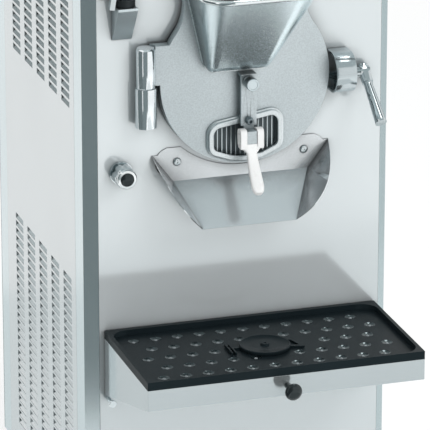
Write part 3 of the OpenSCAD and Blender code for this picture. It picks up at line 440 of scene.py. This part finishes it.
# ---- hopper ----
HOPPER_LOW, HOPPER_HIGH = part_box("hopper")
RIM = 4 * MM
FLOOR_Z = HOPPER_LOW.z
MOUTH_Z = HOPPER_HIGH.z - 3 * MM
FUNNEL_H = MOUTH_Z - FLOOR_Z
# The funnel's left, right, depth from the door and corner radius, at its floor and at its mouth
FUNNEL_FLOOR = (-68 * MM, 32 * MM, 28 * MM, 12 * MM)
FUNNEL_MOUTH = (HOPPER_LOW.x + RIM, HOPPER_HIGH.x - RIM, DOOR_FACE - HOPPER_LOW.y - RIM, 50 * MM)


def quarter(u, v, radius, start, steps):
    """Points of a quarter circle about (u, v), from an angle in degrees."""
    angles = [math.radians(start + 90 * k / steps) for k in range(steps + 1)]
    return [(u + radius * math.cos(a), v + radius * math.sin(a)) for a in angles]


def funnel_section(t, z, grow=0.0):
    """The funnel's outline at t from floor to mouth, from its back left corner round the front."""
    x0, x1, depth, r = (a + (b - a) * t for a, b in zip(FUNNEL_FLOOR, FUNNEL_MOUTH))
    x0, x1, depth, r = x0 - grow, x1 + grow, depth + grow, r + grow
    centre_y = DOOR_FACE - depth + r
    corners = quarter(x0 + r, centre_y, r, 180, 14) + quarter(x1 - r, centre_y, r, 270, 14)
    return [Vector((x, y, z)) for x, y in [(x0, DOOR_FACE), *corners, (x1, DOOR_FACE)]]


def funnel_at(lift, grow=0.0):
    """The funnel's outline at a height over its floor."""
    return funnel_section(lift / FUNNEL_H, FLOOR_Z + lift, grow)


def hopper():
    """Sheet funnel with a rounded foot and a rolled rim."""
    wall = 2.5 * MM
    foot_r = 11 * MM
    outer = []
    for k in range(6):
        angle = math.radians(90 * k / 5)
        outer.append(funnel_at(foot_r * (1 - math.cos(angle)), -0.9 * foot_r * (1 - math.sin(angle))))
    outer += [funnel_at(foot_r + (FUNNEL_H - foot_r) * k / 8) for k in range(1, 9)]
    inner = []
    for k in range(9):
        section = funnel_at(wall + (FUNNEL_H - wall) * (8 - k) / 8, -wall)
        section[0].y = section[-1].y = DOOR_FACE - 1.5 * MM
        inner.append(section)
    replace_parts(piece("hopper_funnel", loft(outer + inner), "door", "funnel"), "hopper")
    rim = funnel_section(1.0, MOUTH_Z - 1.5 * MM, 0.8 * MM)
    piece("hopper_rim", swept([*rim, rim[0]], 4.4 * MM, 14), "door", "rim")
    weld_and_foot_highlight_beads(0.45 * foot_r)


def weld_and_foot_highlight_beads(foot_in):
    """The weld bead where the funnel meets the door, and the bright bead round its foot, which stands in for
    the highlight on the foot's rounded edge: a painted highlight.
    """
    corner = 9 * MM
    left = [funnel_at(FUNNEL_H * k / 10)[0] for k in range(10, 0, -1)]
    right = [funnel_at(FUNNEL_H * k / 10)[-1] for k in range(1, 11)]
    x0, x1 = FUNNEL_FLOOR[0] + corner, FUNNEL_FLOOR[1] - corner
    foot = quarter(x0, FLOOR_Z + corner, corner, 180, 6) + quarter(x1, FLOOR_Z + corner, corner, 270, 6)
    outline = [(p.x, p.z) for p in left] + foot + [(p.x, p.z) for p in right]
    on_door = [Vector((x, DOOR_FACE - 0.6 * MM, z)) for x, z in outline]
    on_foot = funnel_section(0.0, FLOOR_Z + 1.5 * MM, -foot_in)
    weld_and_highlight = joined(swept(on_door, 1.9 * MM, 8), swept(on_foot, 1.4 * MM, 8))
    piece("hopper_weld_and_foot_highlight", weld_and_highlight, "door", "bead")


# ---- screws and knobs ----
def cross(angle):
    """Outline of a cross recess, as a share of its radius."""
    return 1.0 if abs(math.sin(2 * angle)) < 0.45 else 0.42


def hexagon(angle):
    """Outline of a hexagon recess, as a share of its radius."""
    return math.cos(math.pi / 6) / math.cos(angle % (math.pi / 3) - math.pi / 6)


def socket_head(origin, shank, r, height, socket_r, outline):
    """A domed head facing the front, with a recess, in millimetres; shank is its radius and its length."""
    shank_r, shank_l = shank
    bottom = 0.4 * height
    profile = [(shank_r, -shank_l), (shank_r, 0), (r, 0), (r, 0.5 * height), (0.9 * r, 0.8 * height),
               (1.2 * socket_r, height), (socket_r, height), (0.96 * socket_r, bottom), (0.1, bottom)]

    def recess(angle, radius):
        return radius * outline(angle) if radius <= socket_r else radius

    return turned(origin, (0, -1, 0), profile, 48, recess)


def chute_screws():
    """The two cross-head screws of the chute's flange, which seat on it."""
    head_r = 6.3
    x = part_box("chute_screws")[1].x - head_r * MM
    z = middle("chute_screws").z
    flange = FRONT - 1.6 * MM
    heads = [socket_head((side * x, flange, z), shank=(2.45, 9.6), r=head_r, height=2.6, socket_r=3.4,
                         outline=cross) for side in (-1, 1)]
    made = piece("cross_screws", joined(*heads), "cabinet", "chrome")
    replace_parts(made, "chute_screws")


def strap_fixings():
    """The strap's turned knob and, below it, the cap screw with a hexagon socket."""
    profile = [(5, -19), (5, 0), (9.6, 0), (10.5, 1), (10.5, 3), (9.7, 3.8), (9.7, 12.5), (10.5, 13.4),
               (10.5, 20), (10.1, 21.3), (9.4, 21.9), (7.6, 21.9), (7.2, 21.3), (0.2, 21.3)]
    knob = turned((0, STRAP_FACE, middle("strap_knob").z), (0, -1, 0), profile, 56)
    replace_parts(piece("turned_knob", knob, "door", "satin"), "strap_knob")
    screw = socket_head((0, STRAP_FACE, middle("strap_bolt").z), shank=(2.95, 11), r=6.5, height=10,
                        socket_r=3.4, outline=hexagon)
    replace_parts(piece("cap_screw", screw, "door", "dull"), "strap_bolt")


def shelf_pins():
    """Rest pins under the shelf's side plates and the studs that its keyholes hang on."""
    low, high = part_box("shelf_pins")
    rest_r, stud_r = 6.4, 9
    rest = [(4, -1.5), (4, 29.6), (5.2, 30), (5.2, 31), (4.6, 31.4), (rest_r, 32.4), (rest_r, 35), (5.6, 36),
            (0.2, 36)]
    stud = [(5, -12), (5, 5.2), (stud_r, 5.2), (stud_r, 8.2), (8.2, 9), (0.2, 9)]
    stud_x = 200 * MM
    places = ((high.x - rest_r * MM, low.z + rest_r * MM, rest), (stud_x, high.z - stud_r * MM, stud))
    pins = [turned((side * x, FRONT, z), (0, -1, 0), profile, 40)
            for x, z, profile in places for side in (-1, 1)]
    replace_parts(piece("turned_pins", joined(*pins), "cabinet", "polished"), "shelf_pins")


# ---- gate lever ----
PIN_R = 3 * MM
PIN = Vector((0, middle("lever_pin").y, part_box("lever_pin")[0].z + PIN_R))


def fork_cheek(side):
    """One cheek of the fork, rounded over the pin; its sections are (y, z, half depth) from the pin."""
    sections = [(0, 10.5, 4.0), (0, 9.2, 7.6), (0, 6, 9.4), (0, 0, 10), (0, -8, 9.8), (-1, -16, 9.4),
                (-2, -21, 7)]
    x_in, x_out = side * 8.6, side * 19
    corners = ((x_in, -1), (x_in, 1), (x_out, 1), (x_out, -1))
    return loft([[PIN + Vector((x, y + end * half, z)) * MM for x, end in corners]
                 for y, z, half in sections])


def lever_arm():
    """The bridge under the fork and the arm; sections are (y, z, half width, half thickness) from the pin."""
    sections = [(0, -15.5, 19, 8.5), (-1, -19, 19, 8.5), (-3, -24, 13, 7), (-5, -29, 8.2, 6),
                (-10, -39, 8.4, 5.5), (-17, -51, 9.2, 5.5), (-27, -64, 9.8, 5.5), (-37, -76, 10, 5.5),
                (-42, -82, 8.2, 5.2), (-44.5, -84.5, 4.5, 4.2)]
    bend = -36
    rings = []
    for y, z, half_w, half_t in sections:
        along = (-0.78, -0.62) if z < bend else (-0.25, -0.97)
        ring = []
        for k in range(24):
            angle = 2 * math.pi * k / 24
            across, out = (math.copysign(abs(c) ** 0.5, c) for c in (math.cos(angle), math.sin(angle)))
            thick = out * half_t
            ring.append(PIN + Vector((across * half_w, y + along[1] * thick, z - along[0] * thick)) * MM)
        rings.append(ring)
    return loft(rings)


def gate_handle():
    """White fork and lever, lofted through rounded sections."""
    shape = joined(fork_cheek(-1), fork_cheek(1), lever_arm())
    made = piece("gate_handle", shape, "lever", "white", smooth=60)
    rounded(made, 1.6 * MM, 3, 50)
    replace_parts(made, "gate_lever")


# ---- tap ----
def tap():
    """The fluted grip, its bright bezel and the black cap in it."""
    centre = middle("tap_knob")
    origin = (centre.x, FRONT, centre.z)
    neck_r, flutes, flute_depth = 14, 6, 2.2

    def flute(angle, radius):
        ridge = 0.5 + 0.5 * math.cos(flutes * angle)
        return radius - flute_depth * (1 - ridge) ** 2 * (radius > neck_r)

    grip = [(neck_r, 8), (17.2, 9.5), (17.8, 14), (17.8, 28), (17, 33), (15.5, 35)]
    bezel = [(15.5, 33), (16.4, 35), (16.4, 37), (14.8, 39), (11.2, 39.4), (10.8, 38.2)]
    cap = [(10.8, 37), (10.8, 38.6), (9, 39.3), (0.2, 39.6)]
    made = piece("tap_grip", turned(origin, (0, -1, 0), grip, 96, flute), "tap", "chrome")
    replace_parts(made, "tap_knob")
    piece("tap_bezel", turned(origin, (0, -1, 0), bezel, 64), "tap", "rim")
    piece("tap_cap", turned(origin, (0, -1, 0), cap, 48), "tap", "knob")


# ---- shelf ----
MAT_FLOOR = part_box("shelf_mat")[1].z - 9 * MM
LOCATOR_Y = FRONT - 129 * MM


def dimple_places():
    """The mat's staggered dimples, left out under the locator, as the CAD has them."""
    first_x, first_y = -191.5 * MM, FRONT - 41.5 * MM
    column, row = 36.6 * MM, 41.4 * MM
    clear_r, arm_x, arm_y = 43 * MM, 66 * MM, 20 * MM
    for j in range(5):
        for k in range(11):
            x = first_x + column * (k + j % 2 / 2)
            y = first_y - row * j
            from_locator = y - LOCATOR_Y
            under_arms = abs(from_locator) < arm_y and abs(x) < arm_x
            if math.hypot(x, from_locator) > clear_r and not under_arms:
                yield x, y


def mat_cups():
    """A round cup in each dimple of the mat, with a nub in its middle; the nub's lighter grey is a painted
    highlight.
    """
    cup = [(9.28, 0.02), (8.8, -0.25), (7.4, -1.0), (5.4, -1.75), (3.4, -2.15), (0.1, -2.3)]
    nub = [(3.0, -2.25), (2.8, -1.6), (2.1, -1.0), (1.1, -0.65), (0.1, -0.55)]
    cups, nubs = [], []
    for x, y in dimple_places():
        vertices, faces = turned((x, y, MAT_FLOOR), (0, 0, 1), cup, 28)
        mouth = len(faces) - 2
        cups.append((vertices, faces[:mouth] + faces[mouth + 1:]))
        nubs.append(turned((x, y, MAT_FLOOR), (0, 0, 1), nub, 16))
    piece("mat_cups", joined(*cups), "shelf", "cup", 80)
    piece("mat_nubs", joined(*nubs), "shelf", "nub", 80)


def locator():
    """Dished disc with its centre screw, two ribs on an arm at the left and a pointed frame at the right."""
    base = Vector((0, LOCATOR_Y, MAT_FLOOR + 0.4 * MM))
    arm_h, rib_h = 3, 4.5
    disc = [(40, 0), (41, 1.2), (41, 5.2), (40.2, 6), (38.8, 6), (38, 5.3), (20, 4.8), (7.4, 4.6), (7, 6.4),
            (6, 7.5), (2.6, 7.5), (2.2, 6.3), (0.2, 6.3)]
    pin = [(5, -3.4), (5, 0.5)]
    outside = [(30, 20), (50, 17), (60, -20), (30, -14)]
    inside = [(41, 13), (47, 12), (54, -13), (41, -9)]

    def at(x, y, z):
        return base + Vector((x, y, z)) * MM

    arms = [block(at(-60, 2, 0), at(-38, 9, arm_h))]
    arms += [block(at(x - 1.2, -20, 0), at(x + 1.2, 20, rib_h)) for x in (-60, -54)]
    loops = [[at(x, y, z) for x, y in points]
             for points, z in ((outside, 0), (outside, arm_h), (inside, arm_h), (inside, 0))]
    shape = joined(turned(base, (0, 0, 1), disc, 72), turned(base, (0, 0, 1), pin, 32), *arms,
                   loft(loops, loop=True))
    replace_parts(piece("locator_disc", shape, "locator", "mat"), "pan_locator")


def pull_knob():
    """Mushroom knob on its stem, with the collar behind the tray's front."""
    origin = (0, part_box("shelf_knob")[0].y, middle("shelf_knob").z)
    profile = [(0.2, 0), (5, 0.25), (9, 1.2), (12.2, 3.0), (13.7, 5.2), (14, 7), (13.2, 8.8), (10.5, 10),
               (7.6, 11.4), (6.2, 14), (5.4, 20), (5, 36), (5, 48), (9, 48.4), (9, 51.6), (5, 52), (5, 55.8)]
    shape = turned(origin, (0, 1, 0), profile, 56)
    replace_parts(piece("pull_knob", shape, "shelf_pull", "knob", 50), "shelf_knob")


# ---- camera, light and stage ----
# The camera's place and lens were fitted to the photo with the cabinet 510 mm wide
LENS = 351.6
TARGET = Vector((-0.0421, -0.1435, 0.669))
YAW, PITCH = math.radians(17.6), math.radians(19.3)
DISTANCE = 6.7139

WORLD_LIGHT = 0.72
FLOOR_GLOW = 0.36
FLOOR_HALF = 20
CARD_TINT = (0.74, 1.0, 1.05)


def sheet_object(name, corners):
    """A flat sheet with a Principled material of its own; returns the object and its material's tree."""
    mesh = bpy.data.meshes.new(name)
    mesh.from_pydata([tuple(c) for c in corners], [], [(0, 1, 2, 3)])
    material = bpy.data.materials.new(name)
    material.use_nodes = True
    mesh.materials.append(material)
    return linked(bpy.data.objects.new(name, mesh)), material.node_tree


def camera():
    """The camera at the photograph's viewing angle."""
    data = bpy.data.cameras.new("camera")
    data.lens = LENS
    data.sensor_width = 36
    data.clip_end = 100
    made = linked(bpy.data.objects.new("camera", data))
    back = Vector((-math.sin(YAW) * math.cos(PITCH), -math.cos(YAW) * math.cos(PITCH), math.sin(PITCH)))
    made.location = TARGET + back * DISTANCE
    made.rotation_mode = "QUATERNION"
    made.rotation_quaternion = (-back).to_track_quat("-Z", "Y")
    bpy.context.scene.camera = made


def seen_directly(tree):
    """1 where a ray comes from the camera, or by a mirror or glass from it, else 0."""
    path = tree.nodes.new("ShaderNodeLightPath")
    total = path.outputs["Is Camera Ray"]
    for kind in ("Is Glossy Ray", "Is Transmission Ray"):
        either = tree.nodes.new("ShaderNodeMath")
        either.operation = "MAXIMUM"
        tree.links.new(total, either.inputs[0])
        tree.links.new(path.outputs[kind], either.inputs[1])
        total = either.outputs["Value"]
    return total


def scaled(tree, factor, low, high):
    """A value from low to high, as the factor goes from 0 to 1."""
    spread = tree.nodes.new("ShaderNodeMapRange")
    spread.inputs["To Min"].default_value = low
    spread.inputs["To Max"].default_value = high
    tree.links.new(factor, spread.inputs["Value"])
    return spread.outputs["Result"]


def surround():
    """A world that lights softly and looks white."""
    world = bpy.data.worlds.new("studio")
    bpy.context.scene.world = world
    world.use_nodes = True
    tree = world.node_tree
    background = tree.nodes["Background"]
    background.inputs["Color"].default_value = (1, 1, 1, 1)
    tree.links.new(scaled(tree, seen_directly(tree), WORLD_LIGHT, 1.0), background.inputs["Strength"])


def floor():
    """A pale floor that looks white where it's seen directly, and keeps the object's shadow."""
    corners = [(x * FLOOR_HALF, y * FLOOR_HALF, 0) for x, y in ((-1, -1), (1, -1), (1, 1), (-1, 1))]
    made, tree = sheet_object("floor", corners)
    shader = tree.nodes["Principled BSDF"]
    shader.inputs["Base Color"].default_value = (0.82, 0.83, 0.83, 1)
    shader.inputs["Roughness"].default_value = 0.9
    shader.inputs["Specular IOR Level"].default_value = 0.0
    shader.inputs["Emission Color"].default_value = (1, 1, 1, 1)
    tree.links.new(scaled(tree, seen_directly(tree), 0.0, FLOOR_GLOW), shader.inputs["Emission Strength"])


def flag(name, centre, size, normal, level):
    """A card that only mirrors see, cooler in tint the darker it is; it draws the bands in bright steel."""
    whiteness = min(level, 1.0)
    side, up = axes(normal)
    corners = [Vector(centre) + side * size[0] / 2 * a + up * size[1] / 2 * b
               for a, b in ((-1, -1), (1, -1), (1, 1), (-1, 1))]
    made, tree = sheet_object(name, corners)
    shader = tree.nodes["Principled BSDF"]
    shader.inputs["Base Color"].default_value = (0, 0, 0, 1)
    shader.inputs["Specular IOR Level"].default_value = 0.0
    shader.inputs["Emission Color"].default_value = [c + (1 - c) * whiteness for c in CARD_TINT] + [1]
    shader.inputs["Emission Strength"].default_value = level
    for attribute in ("visible_camera", "visible_diffuse", "visible_shadow", "visible_transmission"):
        setattr(made, attribute, False)


def lamp(name, place, aim, size, watts):
    """A soft rectangular lamp that mirrors don't show."""
    data = bpy.data.lights.new(name, "AREA")
    data.shape = "RECTANGLE"
    data.size, data.size_y = size
    data.energy = watts
    made = linked(bpy.data.objects.new(name, data))
    made.location = place
    made.rotation_mode = "QUATERNION"
    made.rotation_quaternion = (Vector(aim) - Vector(place)).to_track_quat("-Z", "Y")
    made.visible_glossy = False


def studio():
    """World, floor, lamps, the cards in the reflections, and the camera."""
    surround()
    floor()
    lamp("key", (1.6, -2.4, 2.9), (0, 0, 0.8), (1.4, 1.4), 31)
    lamp("fill", (0.2, -1.7, 0.8), (0, -0.14, 0.62), (1.2, 0.5), 5)
    flag("left_flag", (-1.1, -0.35, 0.75), (1.0, 1.6), (1, 0, 0), 0.14)
    flag("front_flag", (-1.25, -2.5, 1.0), (2.6, 3.0), (0, 1, 0), 0.20)
    flag("front_floor", (-1.25, -1.6, 0.004), (2.6, 1.8), (0, 0, 1), 0.20)
    flag("shelf_floor", (0.35, -1.25, 0.005), (1.2, 1.0), (0, 0, 1), 0.84)
    flag("side_floor", (-0.75, 0.9, 0.005), (0.9, 1.2), (0, 0, 1), 0.80)
    flag("right_floor", (1.0, 0.5, 0.005), (1.0, 1.2), (0, 0, 1), 0.66)
    flag("right_flag", (1.5, 0.95, 0.6), (0.9, 1.8), (-1, -0.5, 0), 0.52)
    flag("rear_flag", (-1.6, 2.6, 1.95), (3.0, 1.9), (0, -1, 0), 0.22)
    flag("rear_low_flag", (-1.6, 2.6, 0.78), (3.0, 0.44), (0, -1, 0), 0.55)
    flag("ceiling", (0.6, -1.4, 3.6), (5.0, 5.0), (0, 0, -1), 0.55)
    flag("softbox", (0.9, 0.5, 3.4), (1.0, 1.0), (0, 0, -1), 7.0)
    flag("ceiling_gap", (0.95, -0.3, 3.4), (0.5, 2.4), (0, 0, -1), 0.08)
    flag("strip_light", (0.95, -0.85, 3.4), (0.35, 0.9), (0, 0, -1), 4.0)
    camera()
    bpy.context.scene.view_settings.view_transform = "Standard"


finish_nodes()
soften(0.5 * MM, "door_plate", "gate_strap", "clamp_housing", "hinge_sleeve", "hinge_block", "clamp_lever",
       "shower_holster", "chute")
soften(1.0 * MM, "corner_posts")
soften(1.3 * MM, "shelf_mat", "outlet_frame", "shelf_tray")
panel_screws()
seam_seals()
control_details()
hopper()
chute_screws()
strap_fixings()
shelf_pins()
gate_handle()
tap()
mat_cups()
locator()
pull_knob()
studio()
